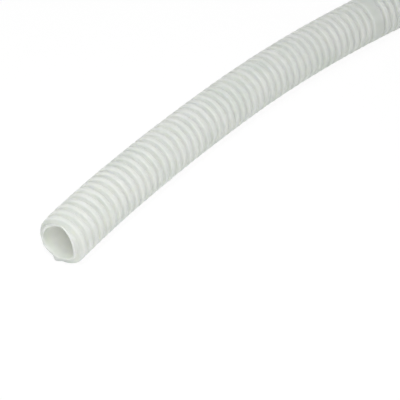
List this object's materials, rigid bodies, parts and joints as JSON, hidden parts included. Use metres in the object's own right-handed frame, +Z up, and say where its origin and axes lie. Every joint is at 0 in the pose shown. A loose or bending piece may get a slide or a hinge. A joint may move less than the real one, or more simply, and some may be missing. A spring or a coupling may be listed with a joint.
{
  "type": "corrugated conduit",
  "caption": "Flexible corrugated plastic conduit, a cut length of 20 mm ribbed tube with a smooth bore, bent gently behind its mouth.",
  "frame": {"origin": "on the floor under the middle of the box that holds the whole tube", "axes": "+Z up from the floor the tube lies on; the straight leg runs along X and its far end opens toward +X; the cut mouth is at the -X end and opens about 20 degrees round toward -Y"},
  "size_m": [0.9972, 0.0616, 0.02],
  "materials": {
    "conduit_plastic": "pale grey-white moulded plastic, smooth with a soft satin sheen, clean"
  },
  "bodies": {
    "root": {"corrugated_conduit": "conduit_plastic"}
  },
  "joints": []
}
